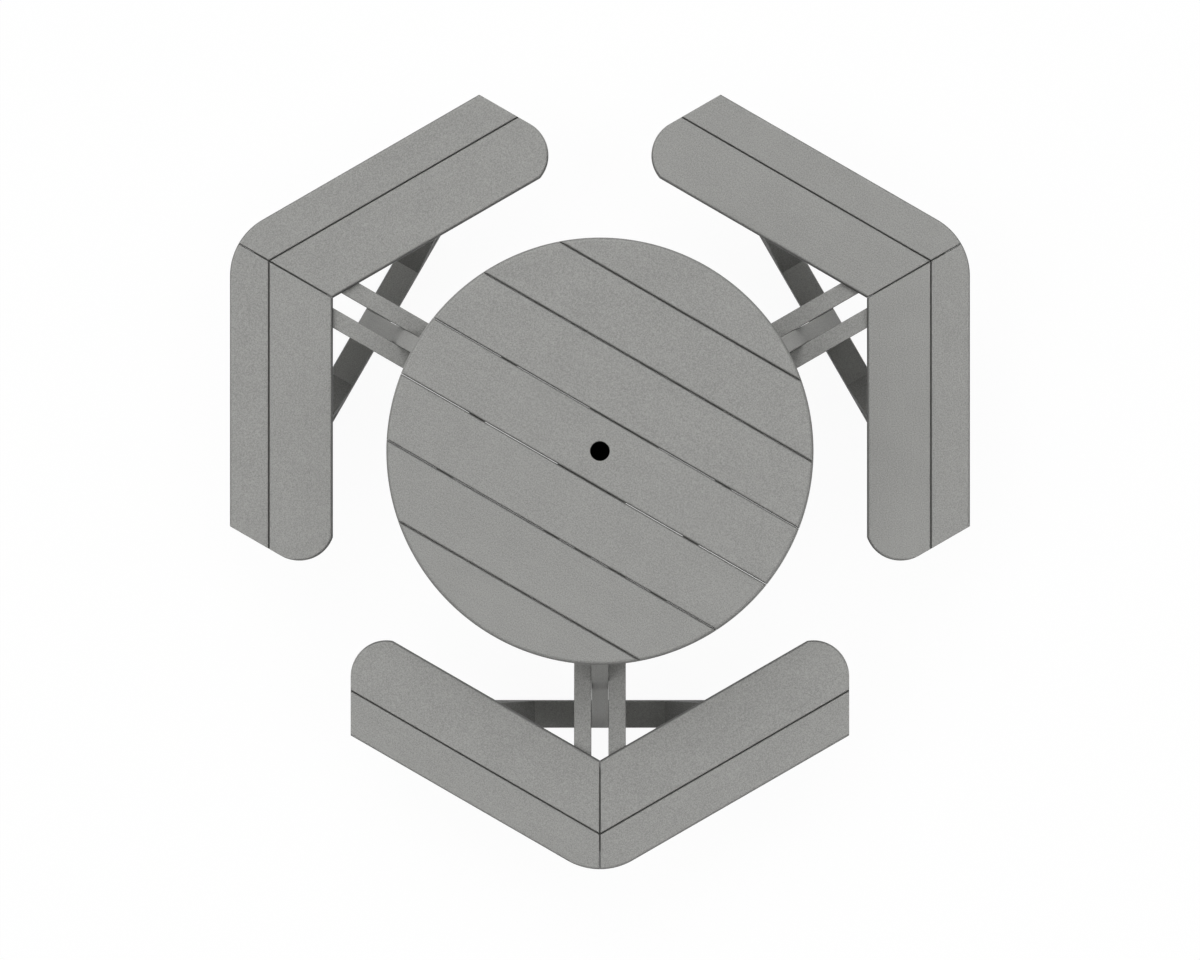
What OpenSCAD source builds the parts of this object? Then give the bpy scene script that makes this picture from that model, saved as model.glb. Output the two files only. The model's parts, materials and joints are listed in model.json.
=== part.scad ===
// Round picnic table of moulded plastic planks.
// A round seven-plank top stands on three raking legs. Each leg stands on a foot board,
// passes between a pair of seat rails, and carries one V-shaped seat of two arms.
// Two struts rise from each foot board to the far ends of its seat.
// The ground is z = 0. The origin is under the middle of the table's own outline.

/* [Table top] */
// Diameter of the round top
top_d = 1220; // [1190:5:1250]
// Height of the table surface above the ground
top_h = 737; // [710:1:780]
// Width sawn off each outermost top plank, past the rim
top_offcut = 33.3; // [20:0.1:60]
// Thickness of every plank, in the top and in the seats
plank_t = 25; // [22:0.5:32]
// Gap left between neighbouring planks
plank_gap = 1.2; // [0.6:0.1:3]
// Radius of the eased long edges of the planks and of the rim
plank_ease = 3.5; // [1:0.5:6]
// Diameter of the umbrella hole
hole_d = 56; // [40:1:60]
// Distance from the table axis to the middle of a side batten
batten_x = 353.5; // [335:0.5:370]
// Distance that the battens stop short of the rim
batten_setback = 60; // [45:1:90]

/* [Seats] */
// Height of the seat surface above the ground
seat_h = 432; // [410:1:460]
// Square distance from the table axis to the inner edge of a seat arm
seat_in = 789; // [775:1:810]
// Width of the inner seat plank
seat_inner_w = 186; // [170:1:200]
// Width of the outer seat plank
seat_outer_w = 116; // [105:1:130]
// Sideways distance from the middle of a seat to its sawn end
seat_end = 735; // [725:1:760]
// Radius of the round outer corner where the two arms meet
seat_corner_r = 192; // [160:1:220]
// Radius of the round inner corner at the sawn end
seat_end_r = 104; // [90:1:115]
// Square distance from the inner edge to the centre of that round corner
seat_end_inset = 98; // [88:1:110]

/* [Frame] */
// Width of the beams used as rails, battens and seat cleats
beam_w = 51; // [45:1:55]
// Height of those beams
beam_h = 60; // [55:1:70]
// Thickness of a leg
leg_t = 50; // [44:1:56]
// Depth of a leg, measured square to its slope
leg_d = 75; // [65:1:76]
// Distance that the outer face of a leg stands in from the rim, under the top
leg_setback = 66; // [60:1:75]
// Distance from the table axis to the outer edge of a foot board
foot_out_r = 844.5; // [835:0.5:855]
// Width of the boards used as feet, struts and leg head cleats
board_w = 83; // [83:1:90]
// Thickness of those boards
board_t = 40; // [36:1:45]
// Length of a foot board
foot_l = 670; // [640:5:720]
// Sideways distance from the middle of a foot board to the toe of a strut
strut_toe = 200; // [185:1:210]
// Slope of a strut above the ground
strut_slope = 37.8; // [36:0.1:39]
// Distance that a rail stops short of the seat's outer corner
rail_setback = 52; // [40:1:70]
// Side clearance between a leg and the rails or cleats that grip it
side_fit = 0.4; // [0.2:0.05:0.8]
// Radius of the eased edges of beams, boards and legs
stock_ease = 3; // [1:0.5:5]
// Length of a leg head cleat
head_cleat_l = 185; // [175:1:190]
// Distance that a leg head cleat stops short of the rim
head_cleat_setback = 25; // [22:1:30]
// Length of the hub boards that tie the rails together in the middle
hub_l = 250; // [230:1:280]
// Width of the hub boards
hub_w = 182.6; // [180:0.2:190]

/* [Fasteners] */
// Diameter of the bolts through the legs
bolt_d = 10; // [8:1:12]
// Diameter of a bolt's low tapered head
bolt_head_d = 21; // [18:1:23]
// Height of that head
bolt_head_h = 5; // [4:0.5:7]
// Width of a nut across its flats
nut_w = 17; // [14:1:18]
// Height of a nut
nut_h = 8; // [6:0.5:9]
// Diameter of a washer
washer_d = 24; // [20:1:25]
// Thickness of a washer
washer_t = 2; // [1.5:0.5:3]
// Diameter of the round recess for a bolt's head or nut
recess_d = 28; // [27:1:30]
// Depth of that recess
recess_h = 14; // [13:0.5:16]
// Clearance of a bolt in its hole, on the radius
bolt_fit = 0.25; // [0.1:0.05:0.5]
// Diameter of a screw's shank
screw_d = 6; // [5:0.5:7]
// Diameter of a screw's head
screw_head_d = 12; // [10:0.5:13]
// Height of a screw's tapered head
screw_head_h = 3.5; // [3:0.5:5]
// Whole length of a screw
screw_l = 65; // [60:1:70]
// Depth of a screw in a plank
plank_bite = 17; // [12:0.5:19]
// Depth of a foot screw in the leg or strut above
foot_bite = 29; // [25:1:33]
// Clearance of a screw in its hole, on the radius
screw_fit = 0.1; // [0.05:0.05:0.3]

/* [Hidden] */
$fn = 48;
// Sides of the large circles
fine = 360;
arms = 3;
sides = [1, -1];
// Names of the three arms run front, right, left, and these are their directions.
arm_angles = [-90, 30, 150];
// The planks run across the top at this angle, and the battens square to them.
top_angle = -30;
half_v = 30;
plank_rows = 3;
plank_count = 2 * plank_rows + 1;
plank_pitch = (top_d + 2 * top_offcut) / plank_count;
top_plank_w = plank_pitch - plank_gap;
overrun = 5;
plastic = [0.55, 0.55, 0.53];
plastic_low = [0.49, 0.49, 0.47];
steel = [0.75, 0.76, 0.78];

top_r = top_d / 2;
leg_head_r = top_r - leg_setback;
head_cleat_r = top_r - head_cleat_setback;
top_under = top_h - plank_t;
seat_under = seat_h - plank_t;
rail_under = seat_under - beam_h;
hole_r = hole_d / 2;

// Square distances from the table axis to the seam and the outer edge of a seat arm
seam_in = seat_in + seat_inner_w;
seam_out = seam_in + plank_gap;
seat_out = seam_out + seat_outer_w;
corner_x = (seat_out - seat_corner_r) / cos(half_v);
seat_tip = corner_x + seat_corner_r;
// Outermost sawn corner of a seat, which gives the top of the whole outline
end_x = (seat_out - seat_end * sin(half_v)) / cos(half_v);
end_y = end_x * sin(half_v) + seat_end * cos(half_v);
axis_y = (seat_tip - end_y) / 2;

// Leg: its slope, and its width along the ground
leg_run = foot_out_r - leg_head_r;
leg_rise = top_under - board_t;
leg_tilt = atan2(leg_run, leg_rise);
leg_span = leg_d / cos(leg_tilt);
foot_mid_r = foot_out_r - board_w / 2;
grip = leg_t / 2 + side_fit;
rail_mid = grip + beam_w / 2;
rail_out = grip + beam_w;
rail_end = seat_tip - rail_setback;
block_start = seat_in / cos(half_v) + rail_setback / 2;
head_mid = grip + board_t / 2;

// Strut: its run between two level cuts, and the cleat that sits over its upper cut
strut_cut = board_t / sin(strut_slope);
strut_rise = rail_under - board_t;
strut_run = strut_rise / tan(strut_slope);
cleat_y = strut_toe + strut_run + strut_cut / 2;
cleat_inset = 20;
cleat_in_y = cleat_y - beam_w / 2;
cleat_out_y = cleat_y + beam_w / 2;
cleat_x0 = (seat_in + cleat_inset - cleat_in_y * sin(half_v)) / cos(half_v);
cleat_x1 = (seat_out - cleat_inset - cleat_out_y * sin(half_v)) / cos(half_v);
seat_mid = (seat_in + seat_out) / 2;
arm_start = (rail_out - seat_mid * sin(half_v)) / cos(half_v);
arm_cleat = (cleat_in_y - seat_mid * sin(half_v)) / cos(half_v);
mid_cleat_q = (arm_start + arm_cleat) / 2;

// Battens: how far each runs from the middle, square to the planks
function chord(r, x) = sqrt(r * r - x * x);
batten_r = top_r - batten_setback;
side_batten_l = chord(batten_r, batten_x + beam_w / 2);
mid_batten_l = chord(batten_r, beam_w / 2);
mid_batten_start = hole_r + cleat_inset;

// Screws: spread on a plank, and edge distances
screw_spread = 50;
screw_edge = 17;
hub_upper_screw_r = 72;
hub_lower_screw_r = 50;

// Leg faces at a height z, and the bolts that cross the leg there
function leg_mid_r(z) = foot_out_r - (z - board_t) * tan(leg_tilt) - leg_span / 2;
rail_mid_z = seat_under - beam_h / 2;
head_mid_z = top_under - board_w / 2;
rail_bolt_dx = 16;
rail_bolt_dz = 11;
head_bolt_dx = 8;
head_top_share = 0.55;
head_bolt_dz = 22;
rail_bolts_at = [for (s = sides)
    [leg_mid_r(rail_mid_z - s * rail_bolt_dz) + s * rail_bolt_dx, rail_mid_z - s * rail_bolt_dz]];
head_bolts_at = [for (s = sides)
    [leg_mid_r(head_mid_z - s * head_bolt_dz) + s * head_bolt_dx, head_mid_z - s * head_bolt_dz]];

// Screws of the top, as places along and across the planks
side_screws = [for (k = [-plank_rows:plank_rows], s = sides)
    let (y = k * plank_pitch + s * screw_spread)
    if (abs(y) <= side_batten_l - screw_edge) y];
mid_screws = [for (k = [-plank_rows:plank_rows], s = sides)
    let (y = k * plank_pitch + s * screw_spread)
    if (abs(y) <= mid_batten_l - screw_edge && abs(y) >= mid_batten_start + screw_edge) y];
head_screws_x = [head_cleat_r - head_cleat_l + screw_edge * 1.5, head_cleat_r - screw_edge];
batten_screws = [for (x = [-batten_x, batten_x], y = side_screws) [x, y]];
centre_screws = [for (y = mid_screws) [0, y]];
cleat_screws = [for (a = arm_angles, x = head_screws_x, s = sides)
    let (turn = a - top_angle)
    [x * cos(turn) - s * head_mid * sin(turn), x * sin(turn) + s * head_mid * cos(turn)]];
beam_recess = beam_h - (screw_l - plank_bite);
board_recess = board_w - (screw_l - plank_bite);

// Screws of a seat: across the rails, the block, the end cleat and the middle cleat
function arm_x(p, y) = (p - y * sin(half_v)) / cos(half_v);
inner_shares = [0.25, 0.75];
outer_share = 0.45;
plank_places = [for (f = inner_shares) seat_in + f * seat_inner_w];
outer_place = seam_out + outer_share * seat_outer_w;
seat_places = concat(plank_places, [outer_place]);
block_screw_y = 13;
rail_last_x = rail_end - 1.5 * screw_edge;
rail_screws = concat([for (p = plank_places) [arm_x(p, rail_mid), rail_mid]],
    [[rail_last_x, rail_mid]]);
block_screws = concat([for (p = plank_places) [arm_x(p + screw_edge, block_screw_y), block_screw_y]],
    [[rail_last_x, block_screw_y]]);
end_screws = concat([for (p = plank_places) [arm_x(p, cleat_y), cleat_y]],
    [[foot_mid_r, cleat_y]]);

// Screws under the foot, and at both cuts of a strut
leg_screw_dx = 18;
strut_screw_dx = 24;
toe_screw_y = strut_toe + strut_cut * 0.8;
top_screw_y = cleat_y;
foot_recess = board_t - (screw_l - foot_bite);
top_screw_sink = 5;
top_screw_z = rail_under - strut_cut / 2 * tan(strut_slope) + top_screw_sink;

// Places everything about the table axis, turned to one arm: x runs out along the arm.
module on_arm(arm) {
    translate([0, axis_y, 0])
        rotate([0, 0, arm_angles[arm]])
            children();
}

// Places everything about the table axis, turned so that x runs along the planks.
module on_top() {
    translate([0, axis_y, 0])
        rotate([0, 0, top_angle])
            children();
}

// One side of an arm, or its mirror image.
module on_side(side) {
    if (side > 0)
        children();
    else
        mirror([0, 1, 0])
            children();
}

// Along one limb of a V seat: x is the square distance from the table axis.
module on_limb() {
    rotate([0, 0, half_v])
        children();
}

// Section of a sawn or moulded stock: w wide about x = 0, t high above y = 0, edges eased.
module section(w, t, r) {
    translate([-w / 2, r])
        square([w, t - 2 * r]);
    translate([r - w / 2, 0])
        square([w - 2 * r, t]);
    for (x = [r - w / 2, w / 2 - r], y = [r, t - r])
        translate([x, y])
            circle(r);
}

// Straight stock along x, centred on y, with its underside at z = 0.
module bar(length, w, t, r) {
    rotate([90, 0, 90])
        linear_extrude(length)
            section(w, t, r);
}

// Screw pointing up, its head's flat face at z = 0.
module screw() {
    cylinder(h = screw_head_h, d1 = screw_head_d, d2 = screw_d);
    cylinder(h = screw_l, d = screw_d);
}

// Room for a screw in the two pieces that it joins, with a recess under its head.
module screw_room(recess) {
    cylinder(h = screw_head_h, d1 = screw_head_d + 2 * screw_fit, d2 = screw_d + 2 * screw_fit);
    cylinder(h = screw_l + screw_fit, d = screw_d + 2 * screw_fit);
    translate([0, 0, -recess - overrun])
        cylinder(h = recess + overrun, d = screw_head_d + 2 * screw_fit);
}

// A screw that joins a piece whose underside is at z to what lies above it.
module up_from(place, z, recess) {
    translate([place[0], place[1], z + recess])
        children();
}

// A screw driven down from z, upside down.
module down_from(place, z) {
    translate([place[0], place[1], z])
        rotate([180, 0, 0])
            children();
}

// Bolt hole across an arm, with a recess at each end for the head and the nut.
module bolt_room(place, half) {
    translate([place[0], 0, place[1]])
        rotate([90, 0, 0]) {
            translate([0, 0, -half - overrun])
                cylinder(h = 2 * (half + overrun), r = bolt_d / 2 + bolt_fit);
            for (s = sides)
                translate([0, 0, s * (half - recess_h / 2 + overrun / 2)])
                    cylinder(h = recess_h + overrun, d = recess_d, center = true);
        }
}

// Lengths across an arm, from the middle to the bottom of a recess
rail_seat = rail_out - recess_h;
head_out = grip + board_t;
head_seat = head_out - recess_h;

// Table top

// Round disc with eased rim edges, cut through by the umbrella hole.
module top_disc() {
    difference() {
        rotate_extrude($fn = fine)
            intersection() {
                section(top_d, plank_t, plank_ease);
                square([top_r, plank_t]);
            }
        translate([0, 0, -overrun])
            cylinder(h = plank_t + 2 * overrun, r = hole_r);
    }
}

// One plank of the round top, counted from the middle, drilled for the screws below it.
module top_plank(row) {
    mid = row * plank_pitch;
    color(plastic)
        on_top()
            translate([0, 0, top_under])
                difference() {
                    intersection() {
                        top_disc();
                        translate([-top_d / 2, mid, 0])
                            bar(top_d, top_plank_w, plank_t, plank_ease);
                    }
                    for (p = concat(batten_screws, centre_screws, cleat_screws))
                        if (abs(p[1] - mid) < top_plank_w / 2)
                            up_from(p, plank_bite - screw_l, 0)
                                screw_room(0);
                }
}

// Batten from one end to the other, square to the planks, at x.
module top_batten(x, start, stop) {
    color(plastic_low)
        on_top()
            difference() {
                translate([x, start, top_under - beam_h])
                    rotate([0, 0, 90])
                        bar(stop - start, beam_w, beam_h, stock_ease);
                for (p = concat(batten_screws, centre_screws))
                    if (abs(p[0] - x) < beam_w / 2 && p[1] > start && p[1] < stop)
                        up_from(p, top_under - beam_h, beam_recess)
                            screw_room(beam_recess);
            }
}

// Pair of boards on edge under the top, which grip the head of a leg.
module head_cleats(arm) {
    color(plastic_low)
        on_arm(arm)
            difference() {
                for (s = sides)
                    translate([head_cleat_r - head_cleat_l, s * head_mid, top_under - board_w])
                        bar(head_cleat_l, board_t, board_w, stock_ease);
                for (b = head_bolts_at)
                    bolt_room(b, head_out);
                for (x = head_screws_x, s = sides)
                    up_from([x, s * head_mid], top_under - board_w, board_recess)
                        screw_room(board_recess);
            }
}

// Legs and feet

// Raking leg, cut level on the foot board and under the top.
module leg(arm) {
    reach = leg_rise / cos(leg_tilt) + 2 * leg_d;
    color(plastic_low)
        on_arm(arm)
            difference() {
                intersection() {
                    translate([foot_out_r - leg_span / 2, 0, board_t])
                        rotate([0, -leg_tilt, 0])
                            translate([0, 0, -leg_d])
                                linear_extrude(reach)
                                    translate([0, -leg_t / 2])
                                        section(leg_d, leg_t, stock_ease);
                    translate([0, -leg_t, board_t])
                        cube([foot_out_r + leg_d, 2 * leg_t, leg_rise]);
                }
                for (b = rail_bolts_at)
                    bolt_room(b, rail_out);
                for (b = head_bolts_at)
                    bolt_room(b, head_out);
                for (s = sides)
                    up_from([foot_mid_r + s * leg_screw_dx, 0], 0, foot_recess)
                        screw_room(foot_recess);
            }
}

// Board flat on the ground under a leg and the toes of its two struts.
module foot(arm) {
    color(plastic_low)
        on_arm(arm)
            difference() {
                translate([foot_mid_r, -foot_l / 2, 0])
                    rotate([0, 0, 90])
                        bar(foot_l, board_w, board_t, stock_ease);
                for (s = sides) {
                    up_from([foot_mid_r + s * leg_screw_dx, 0], 0, foot_recess)
                        screw_room(foot_recess);
                    for (t = sides)
                        up_from([foot_mid_r + s * strut_screw_dx, t * toe_screw_y], 0, foot_recess)
                            screw_room(foot_recess);
                }
            }
}

// Strut from the foot board up and out to the end cleat of the seat.
module strut(arm, side) {
    reach = strut_rise / sin(strut_slope) + 4 * board_t;
    color(plastic_low)
        on_arm(arm)
            on_side(side)
                difference() {
                    intersection() {
                        translate([foot_mid_r, strut_toe, board_t])
                            rotate([strut_slope, 0, 0])
                                translate([0, -2 * board_t, -board_t])
                                    rotate([0, 0, 90])
                                        bar(reach, board_w, board_t, stock_ease);
                        translate([0, 0, board_t])
                            cube([foot_out_r + board_w, seat_end, strut_rise]);
                    }
                    for (s = sides) {
                        up_from([foot_mid_r + s * strut_screw_dx, toe_screw_y], 0, foot_recess)
                            screw_room(foot_recess);
                        up_from([foot_mid_r + s * strut_screw_dx, top_screw_y], top_screw_z, 0)
                            screw_room(board_t);
                    }
                }
}

// Seat rails and hub

// Rail on one side of a leg, mitred at the hub and cut square under the seat.
module seat_rail(arm, side) {
    color(plastic_low)
        on_arm(arm)
            on_side(side)
                difference() {
                    translate([0, rail_mid, rail_under])
                        bar(rail_end, beam_w, beam_h, stock_ease);
                    hub_mitre();
                    for (b = rail_bolts_at)
                        bolt_room(b, rail_out);
                    for (p = rail_screws)
                        up_from(p, rail_under, beam_recess)
                            screw_room(beam_recess);
                    hub_screw_rooms();
                }
}

// The part of a rail that lies beyond the mitre with its neighbour, to be cut away.
module hub_mitre() {
    rotate([0, 0, 2 * half_v])
        translate([-rail_end, -plank_gap / 2, rail_under - overrun])
            cube([2 * rail_end, rail_end, beam_h + 2 * overrun]);
}

// Place of the hub screw in each rail, above and below.
module hub_screw_rooms() {
    down_from([hub_upper_screw_r, rail_mid], seat_under + plank_t)
        screw_room(0);
    up_from([hub_lower_screw_r, rail_mid], rail_under - plank_t, 0)
        screw_room(0);
}

// Board over or under the middle of the rails, at height z.
module hub_board(z, bored) {
    color(plastic_low)
        difference() {
            on_top()
                difference() {
                    translate([0, -hub_l / 2, z])
                        rotate([0, 0, 90])
                            bar(hub_l, hub_w, plank_t, plank_ease);
                    if (bored)
                        translate([0, 0, z - overrun])
                            cylinder(h = plank_t + 2 * overrun, r = hole_r);
                }
            for (a = [0:arms - 1], s = sides)
                on_arm(a)
                    on_side(s)
                        hub_screw_rooms();
        }
}

// Block between the rails, under the mitre of the seat.
module rail_block(arm) {
    color(plastic_low)
        on_arm(arm)
            difference() {
                translate([block_start, 0, rail_under])
                    bar(rail_end - block_start, 2 * grip, beam_h, stock_ease);
                for (s = sides)
                    on_side(s)
                        for (p = block_screws)
                            up_from(p, rail_under, beam_recess)
                                screw_room(beam_recess);
            }
}

// Seats

// All the screws that enter one arm of a seat from below.
module seat_screws_at() {
    for (p = concat(rail_screws, block_screws, end_screws))
        up_from(p, rail_under, beam_recess)
            children();
    on_limb()
        for (p = seat_places)
            up_from([p, mid_cleat_q], rail_under, beam_recess)
                children();
}

// Everything between the mitre and the sawn end of one arm of a seat.
module arm_zone() {
    translate([0, plank_gap / 2, seat_under - overrun])
        cube([seat_tip + seat_out, seat_end - plank_gap / 2, plank_t + 2 * overrun]);
}

// The acute inner corner at the sawn end, outside its round.
module end_corner() {
    q = (seat_end - seat_end_r - (seat_in + seat_end_inset) * sin(half_v)) / cos(half_v);
    p = seat_in + seat_end_inset;
    x = p * cos(half_v) - q * sin(half_v);
    y = seat_end - seat_end_r;
    translate([0, 0, seat_under - overrun])
        difference() {
            intersection() {
                translate([x - seat_in, y - seat_end_r, 0])
                    cube([seat_in, seat_end, plank_t + 2 * overrun]);
                on_limb()
                    translate([0, q, 0])
                        cube([seat_out, seat_end, plank_t + 2 * overrun]);
            }
            translate([x, y, -overrun])
                cylinder(h = plank_t + 4 * overrun, r = seat_end_r, $fn = fine);
        }
}

// Inner plank of one arm of a seat.
module seat_inner(arm, side) {
    color(plastic)
        on_arm(arm)
            on_side(side)
                difference() {
                    intersection() {
                        on_limb()
                            translate([seat_in + seat_inner_w / 2, -seat_out, seat_under])
                                rotate([0, 0, 90])
                                    bar(2 * seat_out, seat_inner_w, plank_t, plank_ease);
                        arm_zone();
                    }
                    end_corner();
                    seat_screws_at()
                        screw_room(0);
                }
}

// What the round outer corner of a seat takes away from the straight outer planks.
module round_corner() {
    turn_q = corner_x * sin(half_v);
    difference() {
        on_limb()
            translate([seat_mid, -turn_q - seat_out, seat_under - overrun])
                cube([seat_out, seat_out, plank_t + 2 * overrun]);
        translate([corner_x, 0, seat_under - 2 * overrun])
            cylinder(h = plank_t + 4 * overrun, r = seat_corner_r, $fn = fine);
    }
}

// Outer plank of one arm of a seat, with its share of the round corner.
module seat_outer(arm, side) {
    color(plastic)
        on_arm(arm)
            on_side(side)
                difference() {
                    intersection() {
                        on_limb()
                            translate([seam_out + seat_outer_w / 2, -seat_out, seat_under])
                                rotate([0, 0, 90])
                                    bar(2 * seat_out, seat_outer_w, plank_t, plank_ease);
                        arm_zone();
                    }
                    round_corner();
                    seat_screws_at()
                        screw_room(0);
                }
}

// Cleats under one seat: one near each sawn end, and one half way along each arm.
module seat_cleats(arm) {
    color(plastic_low)
        on_arm(arm)
            for (s = sides)
                on_side(s) {
                    difference() {
                        translate([cleat_x0, cleat_y, rail_under])
                            bar(cleat_x1 - cleat_x0, beam_w, beam_h, stock_ease);
                        for (p = end_screws)
                            up_from(p, rail_under, beam_recess)
                                screw_room(beam_recess);
                        for (t = sides)
                            up_from([foot_mid_r + t * strut_screw_dx, top_screw_y], top_screw_z, 0)
                                screw_room(0);
                    }
                    on_limb()
                        difference() {
                            translate([seat_in + cleat_inset, mid_cleat_q, rail_under])
                                bar(seat_out - seat_in - 2 * cleat_inset, beam_w, beam_h, stock_ease);
                            for (p = seat_places)
                                up_from([p, mid_cleat_q], rail_under, beam_recess)
                                    screw_room(beam_recess);
                        }
                }
}

// Fasteners

// Bolt across an arm with a low tapered head, from the head's seat at -half to past the nut.
module bolt(half) {
    rotate([90, 0, 0]) {
        translate([0, 0, -half])
            cylinder(h = 2 * half + washer_t + nut_h + bolt_d / 5, d = bolt_d);
        translate([0, 0, -half - bolt_head_h])
            cylinder(h = bolt_head_h, d1 = bolt_head_d * head_top_share, d2 = bolt_head_d);
    }
}

// All the bolts of one kind, laid across every arm.
module bolts(places, half) {
    color(steel)
        for (a = [0:arms - 1])
            on_arm(a)
                for (b = places)
                    translate([b[0], 0, b[1]])
                        bolt(half);
}

// Puts a child on the nut end of every bolt, at a distance past the seat, facing out.
module at_nut_ends(past) {
    for (a = [0:arms - 1])
        on_arm(a) {
            for (b = rail_bolts_at)
                translate([b[0], -rail_seat - past, b[1]])
                    rotate([90, 0, 0])
                        children();
            for (b = head_bolts_at)
                translate([b[0], -head_seat - past, b[1]])
                    rotate([90, 0, 0])
                        children();
        }
}

module bolt_washers() {
    color(steel)
        at_nut_ends(0)
            difference() {
                cylinder(h = washer_t, d = washer_d);
                translate([0, 0, -overrun])
                    cylinder(h = washer_t + 2 * overrun, r = bolt_d / 2 + bolt_fit);
            }
}

module bolt_nuts() {
    color(steel)
        at_nut_ends(washer_t)
            difference() {
                cylinder(h = nut_h, d = nut_w / cos(half_v), $fn = 6);
                translate([0, 0, -overrun])
                    cylinder(h = nut_h + 2 * overrun, r = bolt_d / 2 + bolt_fit / 2);
            }
}

module top_screws() {
    color(steel)
        on_top() {
            for (p = concat(batten_screws, centre_screws))
                up_from(p, top_under - beam_h, beam_recess)
                    screw();
            for (p = cleat_screws)
                up_from(p, top_under - board_w, board_recess)
                    screw();
        }
}

module seat_screws() {
    color(steel)
        for (a = [0:arms - 1], s = sides)
            on_arm(a)
                on_side(s)
                    seat_screws_at()
                        screw();
}

module frame_screws() {
    color(steel)
        for (a = [0:arms - 1])
            on_arm(a) {
                for (s = sides)
                    up_from([foot_mid_r + s * leg_screw_dx, 0], 0, foot_recess)
                        screw();
                for (t = sides)
                    on_side(t) {
                        for (s = sides) {
                            up_from([foot_mid_r + s * strut_screw_dx, toe_screw_y], 0, foot_recess)
                                screw();
                            up_from([foot_mid_r + s * strut_screw_dx, top_screw_y], top_screw_z, 0)
                                screw();
                        }
                        down_from([hub_upper_screw_r, rail_mid], seat_under + plank_t)
                            screw();
                        up_from([hub_lower_screw_r, rail_mid], rail_under - plank_t, 0)
                            screw();
                    }
            }
}

top_plank(-3);  // top_plank_1
top_plank(-2);  // top_plank_2
top_plank(-1);  // top_plank_3
top_plank(0);  // top_plank_4
top_plank(1);  // top_plank_5
top_plank(2);  // top_plank_6
top_plank(3);  // top_plank_7
top_batten(-batten_x, -side_batten_l, side_batten_l);  // top_batten_left
top_batten(batten_x, -side_batten_l, side_batten_l);  // top_batten_right
top_batten(0, mid_batten_start, mid_batten_l);  // top_batten_upper
top_batten(0, -mid_batten_l, -mid_batten_start);  // top_batten_lower
head_cleats(0);  // head_cleats_front
head_cleats(1);  // head_cleats_right
head_cleats(2);  // head_cleats_left
leg(0);  // leg_front
leg(1);  // leg_right
leg(2);  // leg_left
seat_rail(0, 1);  // seat_rail_front_a
seat_rail(0, -1);  // seat_rail_front_b
seat_rail(1, 1);  // seat_rail_right_a
seat_rail(1, -1);  // seat_rail_right_b
seat_rail(2, 1);  // seat_rail_left_a
seat_rail(2, -1);  // seat_rail_left_b
foot(0);  // foot_front
foot(1);  // foot_right
foot(2);  // foot_left
strut(0, 1);  // strut_front_a
strut(0, -1);  // strut_front_b
strut(1, 1);  // strut_right_a
strut(1, -1);  // strut_right_b
strut(2, 1);  // strut_left_a
strut(2, -1);  // strut_left_b
seat_inner(0, 1);  // seat_front_inner_a
seat_inner(0, -1);  // seat_front_inner_b
seat_outer(0, 1);  // seat_front_outer_a
seat_outer(0, -1);  // seat_front_outer_b
seat_inner(1, 1);  // seat_right_inner_a
seat_inner(1, -1);  // seat_right_inner_b
seat_outer(1, 1);  // seat_right_outer_a
seat_outer(1, -1);  // seat_right_outer_b
seat_inner(2, 1);  // seat_left_inner_a
seat_inner(2, -1);  // seat_left_inner_b
seat_outer(2, 1);  // seat_left_outer_a
seat_outer(2, -1);  // seat_left_outer_b
seat_cleats(0);  // seat_cleats_front
seat_cleats(1);  // seat_cleats_right
seat_cleats(2);  // seat_cleats_left
rail_block(0);  // rail_block_front
rail_block(1);  // rail_block_right
rail_block(2);  // rail_block_left
hub_board(seat_under, true);  // hub_board_upper
hub_board(rail_under - plank_t, false);  // hub_board_lower
bolts(rail_bolts_at, rail_seat);  // rail_bolts
bolts(head_bolts_at, head_seat);  // head_bolts
bolt_washers();
bolt_nuts();
top_screws();
seat_screws();
frame_screws();
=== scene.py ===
"""Round picnic table: the looks of its planks, beams, legs and fasteners, seen from above."""
import json
import logging
import math
from dataclasses import dataclass, field
from enum import Enum

import bpy
import numpy as np
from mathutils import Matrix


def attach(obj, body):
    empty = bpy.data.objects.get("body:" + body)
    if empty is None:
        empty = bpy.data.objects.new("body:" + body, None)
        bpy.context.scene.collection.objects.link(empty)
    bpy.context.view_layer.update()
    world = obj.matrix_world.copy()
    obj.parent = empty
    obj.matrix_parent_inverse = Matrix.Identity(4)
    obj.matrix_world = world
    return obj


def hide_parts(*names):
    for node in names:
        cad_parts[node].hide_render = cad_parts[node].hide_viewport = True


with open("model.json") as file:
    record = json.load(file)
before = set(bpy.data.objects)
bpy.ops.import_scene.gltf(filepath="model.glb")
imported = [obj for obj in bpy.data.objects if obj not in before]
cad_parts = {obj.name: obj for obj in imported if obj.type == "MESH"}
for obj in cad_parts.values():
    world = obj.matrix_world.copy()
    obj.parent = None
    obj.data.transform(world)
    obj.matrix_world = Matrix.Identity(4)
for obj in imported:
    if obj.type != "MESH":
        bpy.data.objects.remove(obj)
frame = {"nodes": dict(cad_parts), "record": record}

log = logging.getLogger("picnic_table")

MM = 0.001
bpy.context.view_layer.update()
Colour = tuple[float, float, float, float]
Direction = tuple[float, float, float]
Pair = tuple[float, float]


class Arm(Enum):
    """The three arms of the table, and the way each one points, in degrees."""

    FRONT = -90.0
    RIGHT = 30.0
    LEFT = 150.0


class Side(Enum):
    """The two halves of an arm: a is to the left of its direction, b to the right."""

    A = 1
    B = -1


class Row(Enum):
    """The two rows of planks in a seat."""

    INNER = "inner"
    OUTER = "outer"


# Shader maths


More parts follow.
